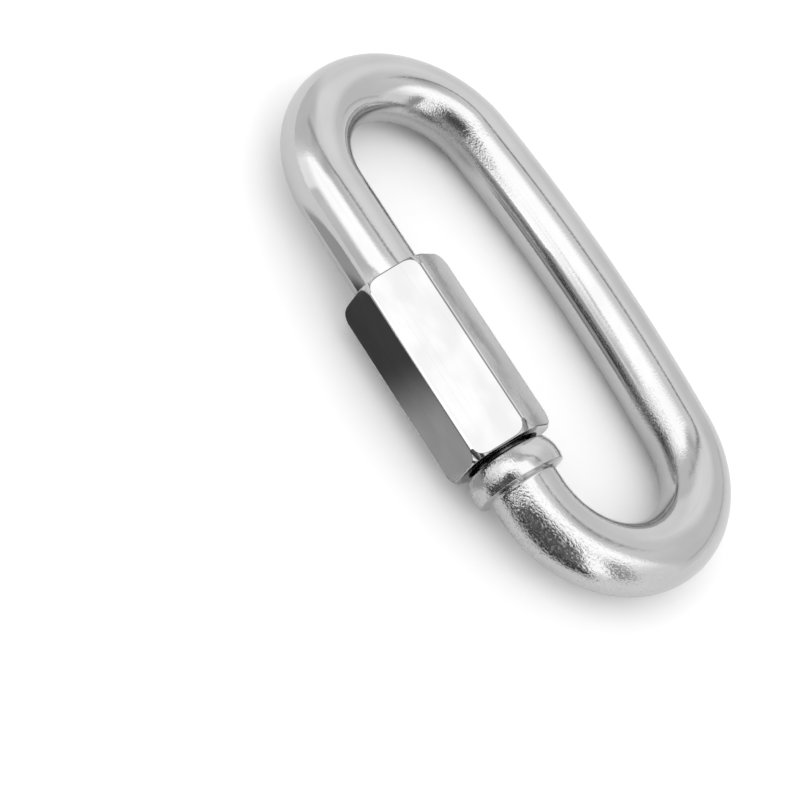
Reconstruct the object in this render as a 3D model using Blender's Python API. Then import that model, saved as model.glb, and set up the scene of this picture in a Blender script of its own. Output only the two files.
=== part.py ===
"""Oval quick link: a bent steel rod whose side opening is closed by a long hexagonal screw sleeve.

Metres, +Z up. The link lies on the ground as it comes to rest: its long axis runs along Y, and it is
tilted about that axis because the sleeve is wider than the rod. The sleeve is on the -X side.
"""

import math

import bmesh
import bpy
from mathutils import Vector

# Oval rod: the plain side bulges a little, and the bends are a little tighter towards the sleeve
ROD_DIAMETER = 0.010
LINK_LENGTH = 0.090
LINK_WIDTH = 0.0412
SIDE_CROWN = 0.0014
SLEEVE_SIDE_EASE = 0.0008

# Collar forged on the rod, where the closed sleeve seats
COLLAR_TO_BEND = 0.0019
COLLAR_LENGTH = 0.0040
COLLAR_BEVEL = 0.0006
COLLAR_TOP_STEP = 0.0010
COLLAR_WIDEST_STEP = 0.0017
COLLAR_WIDEST_AT = 0.68
COLLAR_TOP_EDGE = 0.0005
COLLAR_FOOT_EDGE = 0.0001

# Threaded ends on both sides of the opening
THREAD_PITCH = 0.00125
THREAD_UNDER_ROD = 0.00025
THREAD_CHAMFER = 0.0006
THREAD_RELIEF = 0.0005
STUB_TURNS = 4
TIP_TURNS = 3
OPENING = 0.0137

# Hexagonal screw sleeve
SLEEVE_LENGTH = 0.0284
SLEEVE_WALL = 0.0018
SLEEVE_CORNER_ROUND = 0.0003
SLEEVE_CHAMFER_START = 0.00035
SLEEVE_GAP = 0.0007
SHANK_CLEARANCE = 0.0002
THREAD_CLEARANCE = 0.00015
THREAD_ZONE = 0.0082
MOUTH_STEP = 0.0008
MOUTH_DEPTH = 0.0035
MOUTH_BEVEL = 0.0004
SLEEVE_TURN_AS_LAID = math.radians(2.4)

# Facets
ROD_SIDES = 32
BORE_SIDES = 48
QUARTER_STEPS = 11
SIDE_STEPS = 6
ROUND_STEPS = 2
COLLAR_STEPS = 4
SHARP_ANGLE = math.radians(35)
MERGE_DISTANCE = 1e-7

# Share of one pitch at which the ridge's root and crest start and end
THREAD_ROWS = ((0.0, 0.0), (0.25, 0.0), (0.5625, 1.0), (0.6875, 1.0))
THREAD_HEIGHT_SHARE = 0.6134

STEEL_COLOUR = (0.66, 0.66, 0.65, 1.0)
BODY_ROUGHNESS = 0.16
SLEEVE_ROUGHNESS = 0.22

# Oval centreline, in the link's own plane
rod_radius = ROD_DIAMETER / 2
half_width = LINK_WIDTH / 2 - rod_radius
bend_radius = half_width + (SLEEVE_SIDE_EASE - SIDE_CROWN) / 2
sleeve_bend_radius = bend_radius - SLEEVE_SIDE_EASE
bend_centre_x = sleeve_bend_radius - half_width
half_straight = LINK_LENGTH / 2 - rod_radius - bend_radius
sleeve_half_straight = half_straight + SLEEVE_SIDE_EASE
side_reach = half_width - bend_centre_x
side_radius = (side_reach ** 2 + half_straight ** 2 - bend_radius ** 2) / (2 * SIDE_CROWN)
side_centre_x = half_width - side_radius
side_angle = math.atan2(half_straight, bend_centre_x - side_centre_x)

# Threads
thread_radius = rod_radius - THREAD_UNDER_ROD
thread_height = THREAD_HEIGHT_SHARE * THREAD_PITCH
root_radius = thread_radius - thread_height
stub_thread_length = (STUB_TURNS + 1) * THREAD_PITCH
tip_thread_length = (TIP_TURNS + 1) * THREAD_PITCH

# Heights along the sleeve's side, from the bottom bend up
collar_foot_y = COLLAR_TO_BEND + COLLAR_BEVEL - sleeve_half_straight
collar_face_y = collar_foot_y + COLLAR_LENGTH
stub_end_y = collar_face_y + THREAD_RELIEF + stub_thread_length + THREAD_CHAMFER
tip_end_y = stub_end_y + OPENING
tip_root_y = tip_end_y + THREAD_CHAMFER + tip_thread_length + THREAD_RELIEF
shoulder_y = tip_root_y + (rod_radius - root_radius)
sleeve_low_y = collar_face_y + SLEEVE_GAP

# Sleeve, round its own axis
bore_radius = rod_radius + SHANK_CLEARANCE
across_flats = 2 * (bore_radius + SLEEVE_WALL)
half_sector = math.pi / 6
corner_radius = across_flats / 2 / math.cos(half_sector)
round_centre = corner_radius - SLEEVE_CORNER_ROUND / math.cos(half_sector)
thread_zone_radius = thread_radius + THREAD_CLEARANCE
mouth_radius = bore_radius + MOUTH_STEP

# How the link lies: on a corner of the sleeve and on the far side of the rod
sleeve_drop = round_centre * math.cos(SLEEVE_TURN_AS_LAID) + SLEEVE_CORNER_ROUND
sleeve_side = round_centre * math.cos(half_sector - SLEEVE_TURN_AS_LAID) + SLEEVE_CORNER_ROUND
lying_tilt = math.asin((sleeve_drop - rod_radius) / (2 * half_width))
lying_height = half_width * math.sin(lying_tilt) + rod_radius
lying_shift = (sleeve_side - rod_radius) / 2


def clear_scene():
    for obj in list(bpy.data.objects):
        bpy.data.objects.remove(obj)


def steel(name, roughness):
    material = bpy.data.materials.new(name)
    material.use_nodes = True
    shader = material.node_tree.nodes["Principled BSDF"]
    shader.inputs["Base Color"].default_value = STEEL_COLOUR
    shader.inputs["Metallic"].default_value = 1.0
    shader.inputs["Roughness"].default_value = roughness
    return material


def new_object(name, bm, material=None):
    """A mesh object from bm, shaded smooth but for its sharp edges."""
    bmesh.ops.recalc_face_normals(bm, faces=bm.faces)
    mesh = bpy.data.meshes.new(name)
    bm.to_mesh(mesh)
    bm.free()
    mesh.shade_smooth()
    mesh.set_sharp_from_angle(angle=SHARP_ANGLE)
    if material:
        mesh.materials.append(material)
    obj = bpy.data.objects.new(name, mesh)
    bpy.context.scene.collection.objects.link(obj)
    return obj


def ring(bm, centre, outward, radius):
    """A circle of points round the rod. The first one lies on the outside of the oval."""
    points = []
    for side in range(ROD_SIDES):
        angle = math.tau * side / ROD_SIDES
        offset = outward * math.cos(angle) - Vector((0, 0, 1)) * math.sin(angle)
        points.append(bm.verts.new(centre + offset * radius))
    return points


def skin(bm, first, second):
    """The band of faces between two rings."""
    for side in range(ROD_SIDES):
        after = (side + 1) % ROD_SIDES
        bm.faces.new((first[side], first[after], second[after], second[side]))


def bend_stations(centre, radius, start, end, steps):
    """Centre and outward direction at even steps along an arc of the centreline, but for its start."""
    for step in range(1, steps + 1):
        angle = start + (end - start) * step / steps
        outward = Vector((math.cos(angle), math.sin(angle), 0))
        yield Vector((centre[0], centre[1], 0)) + outward * radius, outward


def ridge_height(row, height_along, length):
    """Height of the thread's ridge, which fades in and out over half a turn at its two ends."""
    fade = 2 * min(height_along, length - height_along) / THREAD_PITCH - 1.0
    share = THREAD_ROWS[row % len(THREAD_ROWS)][1]
    return thread_height * share * max(0.0, min(1.0, fade))


def thread(bm, start_ring, start_y, turns):
    """A right-hand thread that runs down the sleeve's side from start_ring. Returns the ring below it.

    Each row of points climbs one pitch in a turn, so the rows follow the root and the crest.
    """
    rows_per_turn = len(THREAD_ROWS)
    last = turns * rows_per_turn
    length = THREAD_PITCH * (turns + 1)
    outward = Vector((-1, 0, 0))

    def along(row, side):
        whole, part = divmod(row, rows_per_turn)
        return THREAD_PITCH * (whole + THREAD_ROWS[part][0] + side / ROD_SIDES)

    def point(row, side):
        down = min(along(row, side), length)
        angle = math.tau * side / ROD_SIDES
        radius = root_radius + ridge_height(row, down, length)
        offset = outward * math.cos(angle) - Vector((0, 0, 1)) * math.sin(angle)
        return bm.verts.new(Vector((-half_width, start_y - down, 0)) + offset * radius)

    end_ring = ring(bm, Vector((-half_width, start_y - length, 0)), outward, root_radius)
    seam = [start_ring[0]]
    seam += [point(row, 0) for row in range(1, last + rows_per_turn)]
    seam.append(end_ring[0])
    rows = []
    for row in range(last + 1):
        middle = [point(row, side) for side in range(1, ROD_SIDES)]
        rows.append([seam[row]] + middle + [seam[row + rows_per_turn]])

    for lower, upper in zip(rows, rows[1:]):
        for side in range(ROD_SIDES):
            bm.faces.new((lower[side], lower[side + 1], upper[side + 1], upper[side]))

    bm.faces.new((start_ring[0], start_ring[1], rows[0][1]))
    for side in range(1, ROD_SIDES - 1):
        bm.faces.new((start_ring[side], start_ring[side + 1], rows[0][side + 1], rows[0][side]))
    bm.faces.new([start_ring[-1]] + seam[:rows_per_turn + 1] + [rows[0][-2]])

    bm.faces.new(seam[last:] + [end_ring[1], rows[-1][1]])
    for side in range(1, ROD_SIDES - 1):
        bm.faces.new((rows[-1][side], rows[-1][side + 1], end_ring[side + 1], end_ring[side]))
    bm.faces.new((rows[-1][-2], end_ring[0], end_ring[-1]))
    return end_ring


def turned(bm, previous, profile):
    """Rings down the sleeve's side at (height, radius) pairs, joined to the previous ring."""
    for height, radius in profile:
        following = ring(bm, Vector((-half_width, height, 0)), Vector((-1, 0, 0)), radius)
        if previous:
            skin(bm, previous, following)
        previous = following
    return previous


def swept(bm, previous, stations):
    """Rings of the plain rod along an arc of the centreline."""
    for centre, outward in stations:
        following = ring(bm, centre, outward, rod_radius)
        skin(bm, previous, following)
        previous = following
    return previous


def collar_side(top_y, share):
    """Height and radius of the collar's barrel-shaped side, at a share of the way down to its foot."""
    fullness = (COLLAR_WIDEST_STEP - COLLAR_TOP_STEP) / COLLAR_WIDEST_AT ** 2
    radius = rod_radius + COLLAR_WIDEST_STEP - fullness * (share - COLLAR_WIDEST_AT) ** 2
    return top_y + (collar_foot_y + COLLAR_FOOT_EDGE - top_y) * share, radius


def stub_and_collar(bm):
    """From the stub's free end down past the collar to the start of the bottom bend."""
    free_end = turned(bm, None, [(stub_end_y, root_radius - THREAD_CHAMFER / 2)])
    bm.faces.new(free_end)
    thread_top = stub_end_y - THREAD_CHAMFER
    above = turned(bm, free_end, [(thread_top, root_radius)])
    below = thread(bm, above, thread_top, STUB_TURNS)
    side_top_y = collar_face_y - COLLAR_TOP_EDGE / 2
    barrel = [collar_side(side_top_y, step / COLLAR_STEPS) for step in range(COLLAR_STEPS + 1)]
    return turned(bm, below, [
        (collar_face_y, root_radius),
        (collar_face_y, barrel[0][1] - COLLAR_TOP_EDGE),
        *barrel,
        (collar_foot_y, barrel[-1][1] - COLLAR_FOOT_EDGE),
        (collar_foot_y - COLLAR_BEVEL, rod_radius),
        (-sleeve_half_straight, rod_radius),
    ])


def oval(bm, previous):
    """The plain rod: bottom bend, far side and top bend."""
    quarter = math.pi / 2
    near, far = sleeve_half_straight, half_straight
    stretches = (
        ((bend_centre_x, -near), sleeve_bend_radius, -2 * quarter, -quarter, QUARTER_STEPS),
        ((bend_centre_x, -far), bend_radius, -quarter, -side_angle, QUARTER_STEPS),
        ((side_centre_x, 0), side_radius, -side_angle, side_angle, SIDE_STEPS),
        ((bend_centre_x, far), bend_radius, side_angle, quarter, QUARTER_STEPS),
        ((bend_centre_x, near), sleeve_bend_radius, quarter, 2 * quarter, QUARTER_STEPS),
    )
    for stretch in stretches:
        previous = swept(bm, previous, bend_stations(*stretch))
    return previous


def tip(bm, previous):
    """From the top bend down the shank to the threaded tip's free end."""
    above = turned(bm, previous, [
        (shoulder_y, rod_radius),
        (tip_root_y, root_radius),
        (tip_root_y - THREAD_RELIEF, root_radius),
    ])
    below = thread(bm, above, tip_root_y - THREAD_RELIEF, TIP_TURNS)
    bm.faces.new(turned(bm, below, [(tip_end_y, root_radius - THREAD_CHAMFER / 2)]))


def make_link_body():
    bm = bmesh.new()
    foot = stub_and_collar(bm)
    tip(bm, oval(bm, foot))
    return new_object("link_body", bm, steel("polished_steel", BODY_ROUGHNESS))


def make_lathe(name, profile):
    """A hidden turned solid round local Z, from (radius, height) pairs that start and end on the axis."""
    bm = bmesh.new()
    points = [bm.verts.new((radius, 0, height)) for radius, height in profile]
    edges = [bm.edges.new(pair) for pair in zip(points, points[1:])]
    bmesh.ops.spin(bm, geom=points + edges, cent=(0, 0, 0), axis=(0, 0, 1), angle=math.tau,
                   steps=BORE_SIDES, use_merge=True)
    bmesh.ops.remove_doubles(bm, verts=bm.verts, dist=MERGE_DISTANCE)
    obj = new_object(name, bm)
    obj.hide_render = True
    obj.display_type = "WIRE"
    return obj


def sleeve_envelope():
    """The turned shape whose two cones take the corners off the ends of the hexagon."""
    end = SLEEVE_LENGTH / 2
    face_radius = across_flats / 2 + SLEEVE_CHAMFER_START
    outer_radius = corner_radius + SLEEVE_CHAMFER_START
    cone = outer_radius - face_radius
    return make_lathe("sleeve_envelope", [
        (0, -end), (face_radius, -end), (outer_radius, cone - end),
        (outer_radius, end - cone), (face_radius, end), (0, end),
    ])


def sleeve_bore():
    """The bore: threaded zone at the collar's end, clear of the shank above it, wider at the mouth."""
    end = SLEEVE_LENGTH / 2
    beyond = MOUTH_DEPTH
    zone_top = THREAD_ZONE - end
    mouth_floor = end - MOUTH_DEPTH
    return make_lathe("sleeve_bore", [
        (0, -end - beyond),
        (thread_zone_radius + MOUTH_BEVEL + beyond, -end - beyond),
        (thread_zone_radius, MOUTH_BEVEL - end),
        (thread_zone_radius, zone_top - (bore_radius - thread_zone_radius)),
        (bore_radius, zone_top),
        (bore_radius, mouth_floor - MOUTH_STEP),
        (mouth_radius, mouth_floor),
        (mouth_radius, end + beyond),
        (0, end + beyond),
    ])


def hexagon_bar():
    """The sleeve's hexagonal blank, a little too long, with its six long corners rounded."""
    bm = bmesh.new()
    bmesh.ops.create_cone(bm, cap_ends=True, segments=6, radius1=corner_radius, radius2=corner_radius,
                          depth=SLEEVE_LENGTH + 2 * MOUTH_BEVEL)
    corners = [edge for edge in bm.edges if abs(edge.verts[0].co.z - edge.verts[1].co.z) > MOUTH_BEVEL]
    bmesh.ops.bevel(bm, geom=corners, offset=SLEEVE_CORNER_ROUND * math.tan(half_sector),
                    segments=ROUND_STEPS, profile=0.5, affect="EDGES")
    return new_object("sleeve_nut", bm, steel("sleeve_steel", SLEEVE_ROUGHNESS))


def make_sleeve_nut():
    sleeve = hexagon_bar()
    for cutter, operation in ((sleeve_envelope(), "INTERSECT"), (sleeve_bore(), "DIFFERENCE")):
        cutter.parent = sleeve
        cut = sleeve.modifiers.new(cutter.name, "BOOLEAN")
        cut.operation = operation
        cut.solver = "EXACT"
        cut.object = cutter
    sleeve.location = (-half_width, sleeve_low_y + SLEEVE_LENGTH / 2, 0)
    sleeve.rotation_euler = (math.radians(-90), SLEEVE_TURN_AS_LAID - lying_tilt, 0)
    return sleeve


def main():
    clear_scene()
    link = bpy.data.objects.new("oval_quick_link", None)
    bpy.context.scene.collection.objects.link(link)
    for piece in (make_link_body(), make_sleeve_nut()):
        piece.parent = link
    link.rotation_euler = (0, lying_tilt, 0)
    link.location = (lying_shift, 0, lying_height)


main()
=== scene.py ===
"""Oval quick link on a pale floor in soft studio light.

Metres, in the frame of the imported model: +Z is up, the link's long axis runs along Y, and the
sleeve is on the -X side.
"""

import math

import bpy
import numpy as np
from mathutils import Euler, Matrix, Vector


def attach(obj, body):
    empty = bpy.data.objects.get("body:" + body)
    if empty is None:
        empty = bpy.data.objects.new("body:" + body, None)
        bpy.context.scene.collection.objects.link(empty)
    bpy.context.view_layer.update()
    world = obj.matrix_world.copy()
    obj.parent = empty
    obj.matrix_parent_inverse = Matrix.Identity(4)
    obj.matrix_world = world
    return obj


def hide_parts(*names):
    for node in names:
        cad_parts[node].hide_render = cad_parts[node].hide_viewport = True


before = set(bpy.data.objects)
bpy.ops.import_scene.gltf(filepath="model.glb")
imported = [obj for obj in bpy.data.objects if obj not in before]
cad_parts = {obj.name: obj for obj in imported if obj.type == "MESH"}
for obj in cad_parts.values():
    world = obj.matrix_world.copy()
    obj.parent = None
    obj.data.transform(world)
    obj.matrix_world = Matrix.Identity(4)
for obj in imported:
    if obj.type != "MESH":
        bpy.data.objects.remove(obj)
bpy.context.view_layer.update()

# The link's own sizes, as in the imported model
ROD_RADIUS = 0.005
HALF_WIDTH = 0.0156
BEND_RADIUS = 0.0153
SLEEVE_BEND_RADIUS = 0.0145
BEND_CENTRE_X = SLEEVE_BEND_RADIUS - HALF_WIDTH
SIDE_CROWN = 0.0014
HALF_STRAIGHT = 0.0247
SLEEVE_HALF_STRAIGHT = 0.0255

COLLAR_FACE_Y = -0.0190
COLLAR_FOOT_Y = -0.0230
COLLAR_BEVEL = 0.0006
COLLAR_TOP_RADIUS = 0.0060
COLLAR_WIDEST_RADIUS = 0.0067
COLLAR_WIDEST_AT = 0.68

PITCH = 0.00125
THREAD_RADIUS = 0.00475
THREAD_HEIGHT = 0.6134 * PITCH
ROOT_RADIUS = THREAD_RADIUS - THREAD_HEIGHT
THREAD_CHAMFER = 0.0006
THREAD_RELIEF = 0.0005
STUB_LENGTH = 5 * PITCH
TIP_LENGTH = 4 * PITCH
STUB_END_Y = COLLAR_FACE_Y + THREAD_RELIEF + STUB_LENGTH + THREAD_CHAMFER
TIP_END_Y = STUB_END_Y + 0.0137
TIP_ROOT_Y = TIP_END_Y + THREAD_CHAMFER + TIP_LENGTH + THREAD_RELIEF
SHOULDER_Y = TIP_ROOT_Y + ROD_RADIUS - ROOT_RADIUS

# The thread's flat root and one flank as shares of the pitch, and how far its edges are softened
THREAD_ROOT = 0.25
THREAD_FLANK = 0.3125
THREAD_SOFTNESS = 0.045

# A free end's worn rim, as distances from the end face and radii
END_RADIUS = ROOT_RADIUS - THREAD_CHAMFER / 2
FREE_END = [
    (0, END_RADIUS - 0.0001),
    (0.00003, END_RADIUS - 0.00003),
    (0.00012, END_RADIUS + 0.00005),
]

SLEEVE_LENGTH = 0.0284
SLEEVE_LOW_Y = COLLAR_FACE_Y + 0.0007
BORE_RADIUS = 0.0052
ZONE_RADIUS = 0.0049
MOUTH_RADIUS = 0.0060
MOUTH_DEPTH = 0.0035
MOUTH_BEVEL = 0.00015
ZONE_LENGTH = 0.0082
GROOVE_DEPTH = 0.00055
COUNTERSINK = 0.00045
RIM_RADIUS = 0.0055
ACROSS_FLATS = 0.0140
CORNER_ROUND = 0.0003
WORN_CORNER_ROUND = 0.0006
PANEL_ROUND = 0.0008
SLEEVE_EDGE = 0.00022
FACE_RADIUS = ACROSS_FLATS / 2 + 0.00035
SLEEVE_TURN = math.radians(2.4)

# How the closed link lies: on the rod of its far side and on a corner of the sleeve
SECTOR = math.pi / 6
ROUND_CENTRE = (ACROSS_FLATS / 2 - CORNER_ROUND) / math.cos(SECTOR)
SLEEVE_DROP = ROUND_CENTRE * math.cos(SLEEVE_TURN) + CORNER_ROUND
SLEEVE_SIDE = ROUND_CENTRE * math.cos(SECTOR - SLEEVE_TURN) + CORNER_ROUND
TILT = math.asin((SLEEVE_DROP - ROD_RADIUS) / (2 * HALF_WIDTH))
LYING_AT = ((SLEEVE_SIDE - ROD_RADIUS) / 2, 0, HALF_WIDTH * math.sin(TILT) + ROD_RADIUS)
LYING = Matrix.Translation(LYING_AT) @ Matrix.Rotation(TILT, 4, "Y")

# Coarseness of the steel's grain: on straight parts, what a bend adds all round, what it adds on
# its front side, and on the sleeve
PLAIN_PEEL = 0.08
BEND_PEEL = 0.12
FRONT_PEEL = 0.80
SLEEVE_PEEL = 0.14

# The steel's look. Scales are per metre and depths are metres
STEEL_BRIGHTEST = 0.595
STEEL_SMOOTHEST = 0.045
PATCH_SCALE = 260
SWELL_SCALE = 420
STREAK_SCALE = 2600
STREAK_DEPTH = 0.000002
SPECKLE_SCALE = 4200
SPECKLE_DEPTH = 0.000075

# Azimuth of the camera's side, from +Y towards +X
FRONT = math.radians(-114)

# The floor, with its tone for camera rays and its tone for all others
FLOOR_HALF_SIZE = 1.0
FLOOR_TONE_SEEN = 1.13
FLOOR_TONE = 0.94

# The tent's radius and how far down it reaches, in degrees from straight up
TENT_REACH = 3.0
TENT_LOWEST = 94

# Paths on the tent, in degrees from straight up: x towards +X and y towards +Y
LIGHT_EDGE = [
    (-66, 60), (-50, 56), (-31, 47), (-22, 38), (-17, 25), (-10, 17), (-1, 12.7), (4, 11), (7, 5),
    (8, -2), (10, -10), (16, -20), (23, -32), (31, -46), (44, -66),
]
FRAME_LINE = [
    (-4, 62), (-2, 48), (1, 37), (5, 29), (10, 22), (15, 18), (21, 14), (26, 10), (28.5, 4),
    (31, -4), (35, -9), (41, -16), (47, -19),
]

# Cards over the floor: where the one in front begins, the levels at x of the one inside the link,
# which is the sleeve's shadow painted on a card, and their heights. The one in front is lower, as
# it passes under another
FRONT_EDGE = [
    (-0.100, 0.016), (-0.060, -0.008), (-0.040, -0.020), (-0.0325, -0.0345), (-0.0285, -0.0427),
    (-0.024, -0.060), (-0.022, -0.110), (-0.022, -0.500),
]
SLEEVE_SHADOW_LEVELS = ((-0.011, -0.006, -0.003, 0.0015, 0.0038), (0.35, 0.35, 0.50, 0.26, 0.43))
CARD_LOW = 0.0002
CARD_HIGH = 0.0004

# Fineness of the visible meshes
ROD_SIDES = 128
SIDE_ANGLES = np.arange(ROD_SIDES) / ROD_SIDES * math.tau
QUARTER_STEPS = 30
SIDE_STEPS = 18
BARREL_STEPS = 15
THREAD_ROW = PITCH / 22
ROUNDING_STEPS = 6
FLAT_COLUMNS = 40
FLAT_STEPS = 9
SHARP_ANGLE = math.radians(40)


def smooth(value, low, high):
    """0 below low, 1 above high, with a soft step between them."""
    t = np.clip((value - low) / (high - low), 0, 1)
    return t * t * (3 - 2 * t)


def window(value, low, high, soft):
    """1 between low and high, 0 outside, with soft edges of a given width."""
    half = soft / 2
    return smooth(value, low - half, low + half) * (1 - smooth(value, high - half, high + half))


def turn(azimuth, centre):
    """Degrees from a centre azimuth, -180 to 180."""
    return (azimuth - centre + 180) % 360 - 180


def beside(x, y, path):
    """Distance from each point to a path, and 1 on the left of its direction, -1 on the right."""
    best = np.full(x.shape, 1e9)
    side = np.zeros(x.shape)
    for (ax, ay), (bx, by) in zip(path, path[1:]):
        dx, dy = bx - ax, by - ay
        share = np.clip(((x - ax) * dx + (y - ay) * dy) / (dx * dx + dy * dy), 0, 1)
        away = np.hypot(x - ax - share * dx, y - ay - share * dy)
        near = away < best
        best = np.where(near, away, best)
        side = np.where(near, np.sign((y - ay) * dx - (x - ax) * dy), side)
    return best, side


class Skin:
    """Vertices, their place on the straightened rod, and quads, gathered ring by ring."""

    def __init__(self):
        self.points = []
        self.lay = []
        self.marks = []
        self.faces = []
        self.count = 0
        self.last = None

    def ring(self, points, lay, painted_dark_line=0.0, painted_highlight=0.0, painted_shade=0.0, peel=SLEEVE_PEEL):
        """Adds a closed ring and joins it to the one before. The marks are a painted dark line, a
        painted highlight and painted shade on its steel, and the coarseness of its grain.
        """
        n = len(points)
        first = self.count
        self.points.append(points)
        self.lay.append(lay)
        marks = [np.broadcast_to(mark, (n,)) for mark in (painted_dark_line, painted_highlight, painted_shade, peel)]
        self.marks.append(np.stack(marks, 1))
        self.count += n
        if self.last is not None:
            a = self.last + np.arange(n)
            b = first + np.arange(n)
            self.faces.append(np.stack([a, np.roll(a, -1), np.roll(b, -1), b], 1))
        self.last = first

    def cap(self, flip=False):
        """The corners of one flat face over the newest ring."""
        order = list(range(self.last, self.count))
        return order[::-1] if flip else order

    def close(self):
        """Joins the skin's two ends: the newest ring is the first one again, so it is dropped."""
        for kept in (self.points, self.lay, self.marks):
            kept.pop()
        quads = self.faces[-1]
        self.faces[-1] = np.where(quads >= self.last, quads - self.last, quads)


def new_object(name, points, faces, **values):
    """A mesh object in the scene. Each of values has a number or a vector for every point."""
    mesh = bpy.data.meshes.new(name)
    mesh.from_pydata(points, [], faces)
    for kind, numbers in values.items():
        plain = numbers.ndim == 1
        attribute = mesh.attributes.new(kind, "FLOAT" if plain else "FLOAT_VECTOR", "POINT")
        flat = numbers.astype(np.float32).ravel()
        attribute.data.foreach_set("value" if plain else "vector", flat)
    obj = bpy.data.objects.new(name, mesh)
    bpy.context.scene.collection.objects.link(obj)
    return obj


def build(name, skin, matrix, caps=()):
    """The visible object of a skin and its caps, with the marks as mesh attributes."""
    points = np.concatenate(skin.points).tolist()
    faces = np.concatenate(skin.faces).tolist() + list(caps)
    marks = np.concatenate(skin.marks)
    obj = new_object(name, points, faces, lay=np.concatenate(skin.lay), marks=marks[:, :3],
                     peel=marks[:, 3])
    obj.data.transform(matrix)
    obj.data.shade_smooth()
    obj.data.set_sharp_from_angle(angle=SHARP_ANGLE)
    return obj


def rounded(profile, radii):
    """A polyline of (height, radius) pairs whose inner corners are rounded by the given radii."""
    points = [Vector(p) for p in profile]
    result = [points[0]]
    for before, corner, after, r in zip(points, points[1:], points[2:], radii):
        if r <= 0:
            result.append(corner)
            continue
        u = (before - corner).normalized()
        v = (after - corner).normalized()
        half = math.acos(max(-1, min(1, u.dot(v)))) / 2
        reach = r / math.tan(half)
        middle = corner + (u + v).normalized() * (r / math.sin(half))
        start, end = corner + u * reach - middle, corner + v * reach - middle
        sweep = start.angle_signed(end)
        for step in range(ROUNDING_STEPS + 1):
            a = -sweep * step / ROUNDING_STEPS
            c, s = math.cos(a), math.sin(a)
            result.append(middle + Vector((start.x * c - start.y * s, start.x * s + start.y * c)))
    result.append(points[-1])
    return [(p.x, p.y) for p in result]


def rod_ring(skin, centre, outward, radius, along, painted_shade=0.0):
    """A ring round the rod, with one radius or one for each side. along is its distance down the
    straightened rod. The grain is coarser on the front sides of the bends."""
    c, s = np.cos(SIDE_ANGLES)[:, None], np.sin(SIDE_ANGLES)[:, None]
    r = np.broadcast_to(np.asarray(radius, float), (ROD_SIDES,))[:, None]
    direction = np.array([outward[0], outward[1], 0.0]) * c - np.array([0, 0, 1.0]) * s
    points = np.array([centre[0], centre[1], 0.0]) + direction * r
    lay = np.concatenate([np.full((ROD_SIDES, 1), along), r * c, r * s], 1)
    x, y = centre[0] / HALF_WIDTH, centre[1]
    low_bend = smooth(-y, 0.0165, 0.020) * (0.75 - 0.25 * x)
    high_bend = smooth(y, 0.019, 0.029) * (0.45 + 0.35 * x)
    facing = math.sin(FRONT) * direction[:, 0] + math.cos(FRONT) * direction[:, 1]
    coarser = BEND_PEEL + FRONT_PEEL * smooth(facing, 0.30, 0.62)
    peel = PLAIN_PEEL + (low_bend + high_bend) * coarser
    skin.ring(points, lay, painted_shade=painted_shade, peel=peel * (1 - painted_shade))


def thread_share(turns):
    """Height of the thread's ridge, 0 to 1, at a number of turns along the thread."""
    shifts = np.linspace(-THREAD_SOFTNESS, THREAD_SOFTNESS, 7)
    total = 0
    for shift in shifts:
        u = (turns + shift) % 1.0
        rise = np.clip((u - THREAD_ROOT) / THREAD_FLANK, 0, 1)
        fall = np.clip((1.0 - u) / THREAD_FLANK, 0, 1)
        total = total + np.minimum(rise, fall)
    return total / len(shifts)


def threaded(skin, top_y, length, along):
    """Rows of a right-hand thread that runs down the sleeve's side from top_y."""
    rows = round(length / THREAD_ROW)
    for row in range(1, rows + 1):
        down = length * row / rows
        turns = down / PITCH - SIDE_ANGLES / math.tau
        fade = np.clip(2 * min(down, length - down) / PITCH - 1, 0, 1)
        share = fade * thread_share(turns)
        radius = ROOT_RADIUS + THREAD_HEIGHT * share
        # Painted shade, darkest in the thread's roots
        painted_shade = 0.45 * (1 - share)
        rod_ring(skin, (-HALF_WIDTH, top_y - down), (-1, 0), radius, along + down, painted_shade)


def turned(skin, profile, along_from, painted_shade=0.0):
    """Rings on the sleeve's side at (height, radius) pairs. along is 0 at height along_from."""
    for y, radius in profile:
        rod_ring(skin, (-HALF_WIDTH, y), (-1, 0), radius, along_from - y, painted_shade)


def swept(skin, centre, radius, start, end, steps, along):
    """Rings along an arc of the centreline. Returns the distance along the rod at its end."""
    for step in range(1, steps + 1):
        a = start + (end - start) * step / steps
        outward = (math.cos(a), math.sin(a))
        at = (centre[0] + radius * outward[0], centre[1] + radius * outward[1])
        rod_ring(skin, at, outward, ROD_RADIUS, along + radius * (end - start) * step / steps)
    return along + radius * (end - start)


def collar_profiles():
    """(height, radius) pairs down over the neck above the collar, whose dark tone is painted shade,
    and over the collar.
    """
    fullness = (COLLAR_WIDEST_RADIUS - COLLAR_TOP_RADIUS) / COLLAR_WIDEST_AT ** 2
    barrel = []
    for share in np.linspace(0, 1, BARREL_STEPS):
        radius = COLLAR_WIDEST_RADIUS - fullness * (share - COLLAR_WIDEST_AT) ** 2
        barrel.append((COLLAR_FACE_Y + (COLLAR_FOOT_Y - COLLAR_FACE_Y) * share, radius))
    foot_radius = barrel[-1][1]
    neck = rounded([
        (COLLAR_FACE_Y + THREAD_RELIEF * 0.6, ROOT_RADIUS),
        (COLLAR_FACE_Y, ROOT_RADIUS),
        barrel[0],
        barrel[4],
    ], [0.00012, 0.00050])
    foot = rounded([
        barrel[-3],
        barrel[-1],
        (COLLAR_FOOT_Y - COLLAR_BEVEL * 0.5, foot_radius - 0.0010),
        (COLLAR_FOOT_Y - COLLAR_BEVEL, ROD_RADIUS),
        (COLLAR_FOOT_Y - COLLAR_BEVEL - 0.0006, ROD_RADIUS),
    ], [0.00010, 0.0004, 0.0003])
    inner = 2 + ROUNDING_STEPS
    return neck[:inner], neck[inner:-1] + barrel[4:-3] + foot


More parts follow.
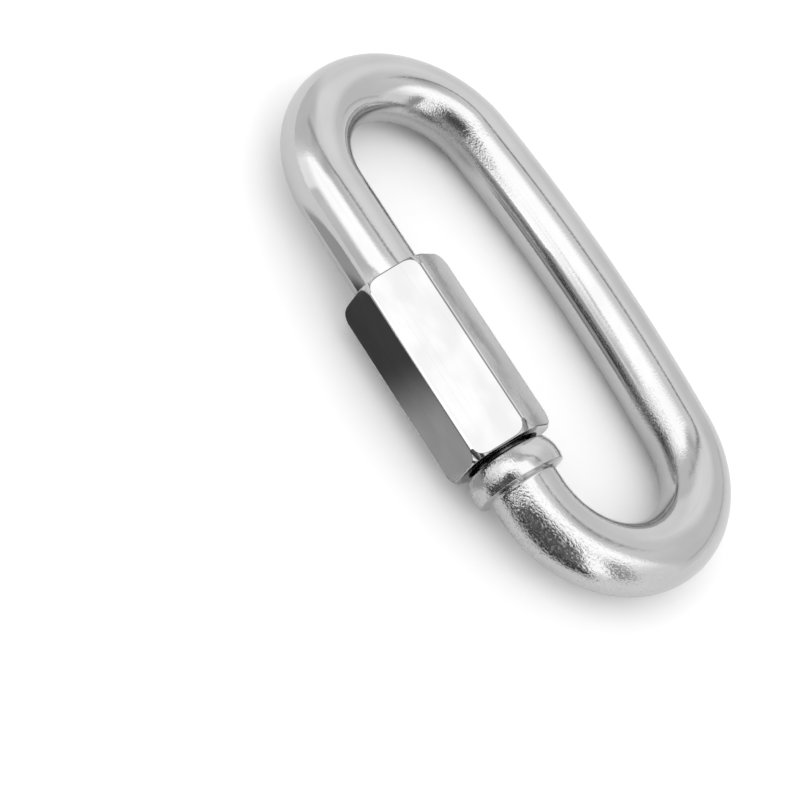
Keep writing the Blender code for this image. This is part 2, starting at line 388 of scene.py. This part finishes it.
def make_link():
    """The rod from the stub's free end through collar, bends and far side to the tip's free end."""
    skin = Skin()
    zero = STUB_END_Y
    thread_top = STUB_END_Y - THREAD_CHAMFER
    rim = [(STUB_END_Y - inwards, radius) for inwards, radius in FREE_END]
    turned(skin, rim[:1], zero)
    caps = [skin.cap()]
    turned(skin, rim[1:] + [(thread_top, ROOT_RADIUS)], zero)
    threaded(skin, thread_top, STUB_LENGTH, zero - thread_top)
    neck, collar = collar_profiles()
    # The neck in the gap under the sleeve is painted almost black, as shade
    turned(skin, neck, zero, painted_shade=1.0)
    turned(skin, collar + [(-SLEEVE_HALF_STRAIGHT, ROD_RADIUS)], zero)

    # Each end has two bends, and the far side is a shallow arc
    side_reach = HALF_WIDTH - BEND_CENTRE_X
    side_radius = (side_reach ** 2 + HALF_STRAIGHT ** 2 - BEND_RADIUS ** 2) / (2 * SIDE_CROWN)
    side_x = HALF_WIDTH - side_radius
    side_angle = math.atan2(HALF_STRAIGHT, BEND_CENTRE_X - side_x)
    quarter = math.pi / 2
    low, high = -SLEEVE_HALF_STRAIGHT, SLEEVE_HALF_STRAIGHT
    along = zero + SLEEVE_HALF_STRAIGHT
    for stretch in (
        ((BEND_CENTRE_X, low), SLEEVE_BEND_RADIUS, -2 * quarter, -quarter, QUARTER_STEPS),
        ((BEND_CENTRE_X, -HALF_STRAIGHT), BEND_RADIUS, -quarter, -side_angle, QUARTER_STEPS),
        ((side_x, 0), side_radius, -side_angle, side_angle, SIDE_STEPS),
        ((BEND_CENTRE_X, HALF_STRAIGHT), BEND_RADIUS, side_angle, quarter, QUARTER_STEPS),
        ((BEND_CENTRE_X, high), SLEEVE_BEND_RADIUS, quarter, 2 * quarter, QUARTER_STEPS),
    ):
        along = swept(skin, *stretch, along)

    top = SLEEVE_HALF_STRAIGHT + along
    thread_top = TIP_ROOT_Y - THREAD_RELIEF
    turned(skin, rounded([
        (SHOULDER_Y + 0.004, ROD_RADIUS),
        (SHOULDER_Y, ROD_RADIUS),
        (TIP_ROOT_Y, ROOT_RADIUS),
        (thread_top, ROOT_RADIUS),
    ], [0.0004, 0.0002]), top)
    threaded(skin, thread_top, TIP_LENGTH, top - thread_top)
    turned(skin, [(TIP_END_Y + inwards, radius) for inwards, radius in FREE_END[::-1]], top)
    caps.append(skin.cap(flip=True))
    return build("steel_link", skin, LYING, caps)


def hexagon_outline():
    """Polar angles and radii round the worn hexagon, how far each point is across a corner (nan on
    the flats), and how far it is past the start of a panel's rounded end."""
    worn = WORN_CORNER_ROUND
    flat = ACROSS_FLATS / 2
    half_flat = (flat - worn) * math.tan(SECTOR)
    round_centre = (flat - worn) / math.cos(SECTOR)
    across = half_flat * np.sin(np.linspace(-math.pi / 2, math.pi / 2, FLAT_COLUMNS))
    past = np.clip(np.abs(across) - half_flat + PANEL_ROUND, 0, PANEL_ROUND)
    turns = np.linspace(-1, 1, ROUNDING_STEPS + 2)[1:-1]
    across_corner = np.tile(np.append(np.full(len(across), np.nan), turns), 6)
    past = np.tile(np.append(past, np.full(len(turns), PANEL_ROUND)), 6)
    points = []
    for side in range(6):
        mid = side * 2 * SECTOR
        n = np.array([math.cos(mid), math.sin(mid)])
        t = np.array([-n[1], n[0]])
        points += [n * flat + t * u for u in across]
        corner = mid + SECTOR
        centre = round_centre * np.array([math.cos(corner), math.sin(corner)])
        for a in corner + SECTOR * turns:
            points.append(centre + worn * np.array([math.cos(a), math.sin(a)]))
    points = np.array(points)
    angles = np.arctan2(points[:, 1], points[:, 0])
    return angles, np.linalg.norm(points, axis=1), across_corner, past


def make_sleeve():
    """The screw sleeve, round local Z from its lower end at zero."""
    angles, hexagon, across_corner, past = hexagon_outline()
    c, s = np.cos(angles), np.sin(angles)
    # Along each corner of the hexagon, a painted dark line on one side and a painted highlight on
    # the other
    corner_painted_dark = np.nan_to_num(np.exp(-((across_corner + 0.35) / 0.35) ** 2))
    corner_painted_highlight = np.nan_to_num(np.exp(-((across_corner - 0.55) / 0.35) ** 2))
    skin = Skin()

    def ring(z, radius, painted_dark_line=0.0, painted_highlight=0.0, painted_shade=0.0):
        r = np.broadcast_to(np.asarray(radius, float), angles.shape)
        z = np.broadcast_to(np.asarray(z, float), angles.shape)
        points = np.stack([r * c, r * s, z], 1)
        skin.ring(points, points, painted_dark_line, painted_highlight, painted_shade)

    # The ends are cut down to a round face, and start deeper where a panel's end is rounded
    edge = SLEEVE_EDGE
    over = hexagon - FACE_RADIUS
    cut = (over + np.sqrt(over ** 2 + (edge / 3) ** 2)) / 2
    deep = cut + PANEL_ROUND - np.sqrt(np.maximum(PANEL_ROUND ** 2 - past ** 2, 0))
    corner = (past / PANEL_ROUND) ** 2

    def end(sign, z_end, inner_radius, painted_corner_shade):
        """Rows from the end's inner rim out over its edge onto the flats, as arguments of ring."""
        # The rows paint a highlight over the rounded edge of the end face, a dark line where the
        # edge turns onto the flats, and shade at the corners as strong as the last argument says
        rows = [(0, inner_radius, 0, 0, 0), (0, FACE_RADIUS - 0.0009, 0, 0, 0)]
        for share in np.linspace(0, 1, ROUNDING_STEPS + 1):
            a = math.pi / 4 * share
            rows.append((edge - edge * math.cos(a), hexagon - edge - cut + edge * math.sin(a),
                         0, (1 - share) * (1 - painted_corner_shade * corner), painted_corner_shade * (0.4 + 0.6 * share) * corner))
        for share in np.linspace(0, 1, ROUNDING_STEPS + 1):
            a = math.pi / 4 * (1 + share)
            rows.append((edge + deep - edge * math.cos(a), hexagon - edge + edge * math.sin(a),
                         math.sin(math.pi * share), 0, painted_corner_shade * (1 - share) * corner))
        rows.append((edge + deep + 0.00006, hexagon, corner_painted_dark, corner_painted_highlight, 0))
        return [(z_end + sign * z, *rest) for z, *rest in rows]

    # Only the lower end, next to the collar, gets painted shade at its corners
    lower = end(1, 0.0, RIM_RADIUS, 0.5)
    flats = [(0.002 + (SLEEVE_LENGTH - 0.004) * share, hexagon, corner_painted_dark, corner_painted_highlight)
             for share in np.linspace(0, 1, FLAT_STEPS)[1:-1]]
    upper = end(-1, SLEEVE_LENGTH, MOUTH_RADIUS + MOUTH_BEVEL, 0.0)
    for row in lower + flats + upper[::-1]:
        ring(*row)

    # Down through the wide mouth, the plain bore and the threaded zone, whose steel is painted dark
    # as shade
    mouth_floor = SLEEVE_LENGTH - MOUTH_DEPTH
    zone_top = ZONE_LENGTH - BORE_RADIUS + ZONE_RADIUS
    bore = rounded([
        (SLEEVE_LENGTH, MOUTH_RADIUS + MOUTH_BEVEL),
        (SLEEVE_LENGTH - MOUTH_BEVEL, MOUTH_RADIUS),
        (mouth_floor, MOUTH_RADIUS),
        (mouth_floor - MOUTH_RADIUS + BORE_RADIUS, BORE_RADIUS),
        (ZONE_LENGTH + 0.002, BORE_RADIUS),
        (ZONE_LENGTH, BORE_RADIUS),
        (zone_top, ZONE_RADIUS),
    ], [0, 0.0002, 0.0002, 0, 0.0001])
    for z, radius in bore[1:]:
        ring(z, radius, painted_shade=0.8)
    rows = round(zone_top / THREAD_ROW)
    for row in range(1, rows):
        z = zone_top * (1 - row / rows)
        turns = (zone_top - z) / PITCH
        groove = 1 - thread_share(turns - angles / math.tau + 0.5)
        depth = np.maximum(GROOVE_DEPTH * min(turns, 1) * groove, max(0.0, COUNTERSINK - z))
        ring(z, ZONE_RADIUS + depth, painted_shade=0.9)
    ring(0.0, ZONE_RADIUS + COUNTERSINK, painted_shade=0.9)
    ring(0.0, RIM_RADIUS)
    skin.close()
    turned_round = Euler((math.radians(-90), SLEEVE_TURN - TILT, 0)).to_matrix().to_4x4()
    place = LYING @ Matrix.Translation((-HALF_WIDTH, SLEEVE_LOW_Y, 0)) @ turned_round
    return build("steel_sleeve", skin, place)


class Graph:
    """Short calls that add and link shader nodes."""

    def __init__(self, tree):
        self.tree = tree

    def node(self, kind, **settings):
        node = self.tree.nodes.new(kind)
        for key, value in settings.items():
            setattr(node, key, value)
        return node

    def feed(self, socket, value):
        if isinstance(value, bpy.types.NodeSocket):
            self.tree.links.new(value, socket)
        else:
            socket.default_value = value

    def attribute(self, name, output="Fac"):
        return self.node("ShaderNodeAttribute", attribute_name=name).outputs[output]

    def math(self, operation, *values):
        node = self.node("ShaderNodeMath", operation=operation)
        for socket, value in zip(node.inputs, values):
            self.feed(socket, value)
        return node.outputs[0]

    def ramp(self, value, low, high, to_low=0.0, to_high=1.0):
        """A smooth step between two values of the input."""
        node = self.node("ShaderNodeMapRange", interpolation_type="SMOOTHSTEP")
        for socket, v in zip(node.inputs, (value, low, high, to_low, to_high)):
            self.feed(socket, v)
        return node.outputs[0]

    def scaled(self, vector, factors):
        node = self.node("ShaderNodeVectorMath", operation="MULTIPLY")
        self.feed(node.inputs[0], vector)
        node.inputs[1].default_value = factors
        return node.outputs[0]

    def noise(self, vector, scale, detail=2.0):
        node = self.node("ShaderNodeTexNoise", noise_dimensions="3D")
        self.feed(node.inputs["Vector"], vector)
        node.inputs["Scale"].default_value = scale
        node.inputs["Detail"].default_value = detail
        return node.outputs[0]

    def bump(self, height, distance, normal=None):
        node = self.node("ShaderNodeBump")
        node.inputs["Distance"].default_value = distance
        self.feed(node.inputs["Height"], height)
        if normal is not None:
            self.feed(node.inputs["Normal"], normal)
        return node.outputs[0]

    def glow(self):
        """A shader that shines as strongly as the attribute level says."""
        node = self.node("ShaderNodeEmission")
        self.feed(node.inputs["Strength"], self.attribute("level"))
        return node.outputs[0]

    def mixed(self, share, first, second):
        """Two shaders mixed by the second one's share."""
        node = self.node("ShaderNodeMixShader")
        for socket, value in zip(node.inputs, (share, first, second)):
            self.feed(socket, value)
        return node.outputs[0]


def steel(name, grain_axis, waves, pits, dullest, darkest):
    """Polished stainless steel. grain_axis is the axis of lay on which the grain runs, waves is the
    depth of its slow swell, pits is what specks add to its roughness, and dullest and darkest are
    the roughness and tone of its worst patches."""
    material = bpy.data.materials.new(name)
    material.use_nodes = True
    g = Graph(material.node_tree)
    shader = material.node_tree.nodes["Principled BSDF"]
    shader.inputs["Metallic"].default_value = 1.0
    lay = g.attribute("lay", "Vector")

    def drawn(stretch):
        """lay pressed together along the grain, so that what is laid on it comes out long."""
        factors = [1.0, 1.0, 1.0]
        factors[grain_axis] = 1.0 / stretch
        return g.scaled(lay, factors)

    # The marks: a painted dark line, a painted highlight and painted shade
    marks = g.node("ShaderNodeSeparateXYZ")
    g.feed(marks.inputs[0], g.attribute("marks", "Vector"))
    painted_dark_line, painted_highlight, painted_shade = marks.outputs
    patches = g.noise(drawn(2.0), PATCH_SCALE)
    speckle = g.noise(drawn(1.5), SPECKLE_SCALE)
    streaks = g.noise(drawn(40.0), STREAK_SCALE, 1.0)
    swell = g.noise(drawn(4.0), SWELL_SCALE, 1.0)
    coarse = g.math("MULTIPLY", g.ramp(patches, 0.38, 0.60, 0.45, 1.0), g.attribute("peel"))
    specks = g.math("MULTIPLY", g.ramp(speckle, 0.50, 0.66), coarse)
    lines = g.ramp(streaks, 0.60, 0.72)

    tone = g.ramp(patches, 0.3, 0.7, darkest, STEEL_BRIGHTEST)
    tone = g.math("ADD", tone, g.math("MULTIPLY", lines, -0.012))
    # Painted dark lines and painted shade darken the tone, and painted highlights lighten it
    tone = g.math("MULTIPLY", tone, g.ramp(painted_dark_line, 0.0, 1.0, 1.0, 0.42))
    tone = g.math("ADD", tone, g.math("MULTIPLY", painted_highlight, 0.25))
    tone = g.math("MULTIPLY", tone, g.ramp(painted_shade, 0.0, 1.0, 1.0, 0.03))
    colour = g.node("ShaderNodeCombineColor")
    for socket in colour.inputs:
        g.feed(socket, tone)
    g.feed(shader.inputs["Base Color"], colour.outputs[0])

    rough = g.ramp(patches, 0.35, 0.65, STEEL_SMOOTHEST, dullest)
    for mark, added in ((specks, pits), (lines, 0.05), (painted_shade, 0.30)):
        rough = g.math("ADD", rough, g.math("MULTIPLY", mark, added))
    g.feed(shader.inputs["Roughness"], rough)

    relief = g.bump(swell, waves)
    relief = g.bump(streaks, STREAK_DEPTH, relief)
    relief = g.bump(g.math("MULTIPLY", speckle, coarse), SPECKLE_DEPTH, relief)
    g.feed(shader.inputs["Normal"], relief)
    return material


def bare_surface(obj):
    """A new material on an object: its graph, and the socket for a shader. Where it glows, light
    isn't sampled from it, which keeps the render quick."""
    material = bpy.data.materials.new(obj.name)
    material.use_nodes = True
    material.cycles.emission_sampling = "NONE"
    obj.data.materials.append(material)
    nodes = material.node_tree.nodes
    nodes.remove(nodes["Principled BSDF"])
    return Graph(material.node_tree), nodes["Material Output"].inputs["Surface"]


def make_floor():
    """A pale floor. Camera rays see a lighter tone than the rays that come from the metal."""
    s = FLOOR_HALF_SIZE
    floor = new_object("floor", [(-s, -s, 0), (s, -s, 0), (s, s, 0), (-s, s, 0)], [(0, 1, 2, 3)])
    g, surface = bare_surface(floor)
    shaders = []
    for tone in (FLOOR_TONE, FLOOR_TONE_SEEN):
        shader = g.node("ShaderNodeBsdfDiffuse")
        shader.inputs["Color"].default_value = (tone, tone, tone, 1)
        shaders.append(shader.outputs[0])
    g.feed(surface, g.mixed(g.node("ShaderNodeLightPath").outputs["Is Camera Ray"], *shaders))


def make_card(name, height, x, y, level, cover):
    """A card just over the floor on a grid of x and y, which shows only in the metal. level and
    cover tell how bright and how dense it is at a point."""
    xx, yy = np.meshgrid(x, y)
    points = np.stack([xx, yy, np.full(xx.shape, height)], 2).reshape(-1, 3)
    index = np.arange(len(points)).reshape(xx.shape)
    corners = (index[:-1, :-1], index[:-1, 1:], index[1:, 1:], index[1:, :-1])
    quads = np.stack(corners, 2).reshape(-1, 4)
    card = new_object(name, points.tolist(), quads.tolist(),
                      level=level(xx, yy).ravel(), cover=cover(xx, yy).ravel())
    card.visible_camera = False
    card.visible_diffuse = False
    card.visible_shadow = False
    g, surface = bare_surface(card)
    clear = g.node("ShaderNodeBsdfTransparent").outputs[0]
    g.feed(surface, g.mixed(g.attribute("cover"), clear, g.glow()))


def make_cards():
    """Dark cards near the link, seen only in the metal: beside the sleeve for painted shade and
    dark surroundings, in front of the link for dark surroundings, and inside it for the sleeve's
    painted shadow.
    """
    # Beside the sleeve: painted shade on the near floor, and dark surroundings
    make_card(
        "card_beside", CARD_HIGH,
        np.linspace(-0.062, -0.0222, 25), np.linspace(-0.020, 0.034, 55),
        lambda x, y: 0.07 + 0.38 * (1 - smooth(y, -0.010, 0.002)) + 0.40 * smooth(y, 0.013, 0.018),
        lambda x, y: window(y, -0.0175, 0.028, 0.003) * smooth(x, -0.058, -0.048))

    def front_cover(x, y):
        away, side = beside(x, y, FRONT_EDGE)
        bearing = np.degrees(np.arctan2(x + 0.010, y + 0.042))
        return smooth(-away * side, -0.0006, 0.0010) * window(turn(bearing, -100), -47, 60, 4)

    # Its rows and columns are closer together near the link
    spread = np.linspace(0, 1, 140)[::-1] ** 2
    make_card(
        "card_front", CARD_LOW, -0.018 - 0.34 * spread, 0.02 - 0.40 * spread,
        lambda x, y: np.full(x.shape, 0.07), front_cover)

    # Inside the link: the sleeve's shadow on the floor painted on a card, and a soft darker patch
    # near the link's end at +Y
    def sleeve_shadow_cover(x, y):
        edge = 0.0039 - 5.3 * (y - 0.001) ** 2
        band = smooth(edge - x, 0, 0.0012) * smooth(x, -0.0105, -0.0095)
        band = band * window(y, -0.020, 0.020, 0.005)
        blot = np.exp(-((x - 0.002) / 0.005) ** 2 - ((y - 0.026) / 0.003) ** 2)
        return np.clip(band + 0.8 * blot, 0, 1)

    make_card(
        "card_sleeve_shadow", CARD_HIGH,
        np.linspace(-0.0105, 0.0080, 50), np.linspace(-0.024, 0.032, 80),
        lambda x, y: np.where(y > 0.021, 0.35, np.interp(x, *SLEEVE_SHADOW_LEVELS)), sleeve_shadow_cover)


def tent_levels(azimuth, fall):
    """Brightness of the tent. azimuth is 0 towards +Y and 90 towards +X, and fall is measured from
    straight up, both in degrees. What is laid on later covers what is there."""
    level = np.full(azimuth.shape, 1.0)
    # Past the tent's lowest row
    down = 130
    x = fall * np.sin(np.radians(azimuth))
    y = fall * np.cos(np.radians(azimuth))

    def lay(mask, value):
        nonlocal level
        level = level + (value - level) * mask

    def zone(centre, half, soft, low, high, fall_soft, value):
        across = window(turn(azimuth, centre), -half, half, soft)
        lay(across * window(fall, low, high, fall_soft), value)

    def spot(cx, cy, rx, ry, value):
        lay(np.exp(-((x - cx) / rx) ** 2 - ((y - cy) / ry) ** 2), value)

    # Greyer walls on the far side, and the gap between them and the overhead light
    zone(40, 44, 20, 24, 62, 16, 1.10)
    zone(115, 42, 30, 40, 90, 30, 0.84)
    zone(-6, 24, 16, 48, down, 24, 0.78)
    spot(-6, 43, 12, 9, 0.66)
    spot(-3, 26, 12, 9, 0.66)
    spot(27, -5, 9, 9, 0.62)
    zone(112, 24, 10, 75, 79, 3, 0.66)
    # Overhead light with its frame's thin edge
    away, side = beside(x, y, FRAME_LINE)
    faint = smooth(y, 18, 30)
    line = np.exp(-(away / (2.0 + 1.4 * faint)) ** 2) * window(y, -10, 60, 10)
    lay(line * (1 - 0.45 * faint), 0.34)
    away, side = beside(x, y, LIGHT_EDGE)
    lay(1 - smooth(away * side, -5, 4), 1.70)
    # Walls on both sides of the camera, with bright and dark strips
    zone(172, 30, 16, 52, down, 36, 1.00)
    zone(-64, 24, 12, 62, down, 20, 1.28)
    zone(-157, 10, 9, 40, down, 20, 1.70)
    zone(-79, 3.0, 2.5, 10, 84, 6, 1.75)
    zone(-71, 5, 4, 64, down, 14, 0.85)
    zone(-72.5, 1.0, 1.8, 46, down, 10, 0.76)
    zone(-174, 9, 8, 46, down, 20, 0.44)
    # Dark curtain behind the camera
    zone(-114, 29, 8, 26, 36, 8, 0.90)
    lean = 0.10 * (fall - 62)
    curtain = window(turn(azimuth, -114.5) + lean, -31, 33.5, 5) * smooth(fall, 32, 40)
    lay(curtain, 0.20)
    zone(-111, 24, 14, 44, 64, 10, 0.09)
    zone(-112, 28, 8, 66, 73, 5, 0.24)
    zone(-109, 21, 8, 75, down, 3, 0.06)
    return level


def make_tent():
    """A pale glowing tent on a sphere round the link. The camera looks in through it."""
    # One row and one column a degree
    rows, columns = TENT_LOWEST, 360
    aa, ff = np.meshgrid(np.radians(np.arange(columns)), np.radians(np.arange(rows) + 1))
    points = np.stack([np.sin(aa) * np.sin(ff), np.cos(aa) * np.sin(ff), np.cos(ff)], 2)
    points = (TENT_REACH * points).reshape(-1, 3).tolist() + [(0, 0, TENT_REACH)]
    levels = tent_levels(turn(np.degrees(aa), 0), np.degrees(ff)).ravel()
    index = np.arange(rows * columns).reshape(rows, columns)
    beyond = np.roll(index, -1, 1)
    quads = np.stack([index[:-1], beyond[:-1], beyond[1:], index[1:]], 2).reshape(-1, 4)
    cap = [(rows * columns, b, a) for a, b in zip(index[0], beyond[0])]
    tent = new_object("tent", points, quads.tolist() + cap,
                      level=np.append(levels, levels[:columns].mean()))
    tent.visible_camera = False
    g, surface = bare_surface(tent)
    g.feed(surface, g.glow())


def make_world():
    """White, which the camera sees beyond the floor."""
    world = bpy.data.worlds.new("white")
    world.use_nodes = True
    world.node_tree.nodes["Background"].inputs["Color"].default_value = (1, 1, 1, 1)
    bpy.context.scene.world = world


def make_camera():
    """The photograph's viewpoint, from a perspective fit of the link's outline."""
    data = bpy.data.cameras.new("camera")
    camera = bpy.data.objects.new("camera", data)
    bpy.context.scene.collection.objects.link(camera)
    camera.location = (-0.15642, -0.05927, 0.21157)
    camera.rotation_euler = [math.radians(a) for a in (28.728, -21.220, -34.510)]
    data.sensor_width = 36
    data.lens = 84.41
    data.clip_start = 0.01
    data.clip_end = 10
    bpy.context.scene.camera = camera
    bpy.context.scene.view_settings.view_transform = "Standard"


link = make_link()
link.data.materials.append(steel(
    "link_steel", grain_axis=0, waves=0.000010, pits=0.40, dullest=0.075, darkest=0.560))
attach(link, "link")
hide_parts("link_body")

sleeve = make_sleeve()
sleeve.data.materials.append(steel(
    "sleeve_steel", grain_axis=2, waves=0.000005, pits=0.15, dullest=0.120, darkest=0.525))
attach(sleeve, "sleeve")
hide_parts("sleeve_nut")

make_floor()
make_tent()
make_cards()
make_world()
make_camera()
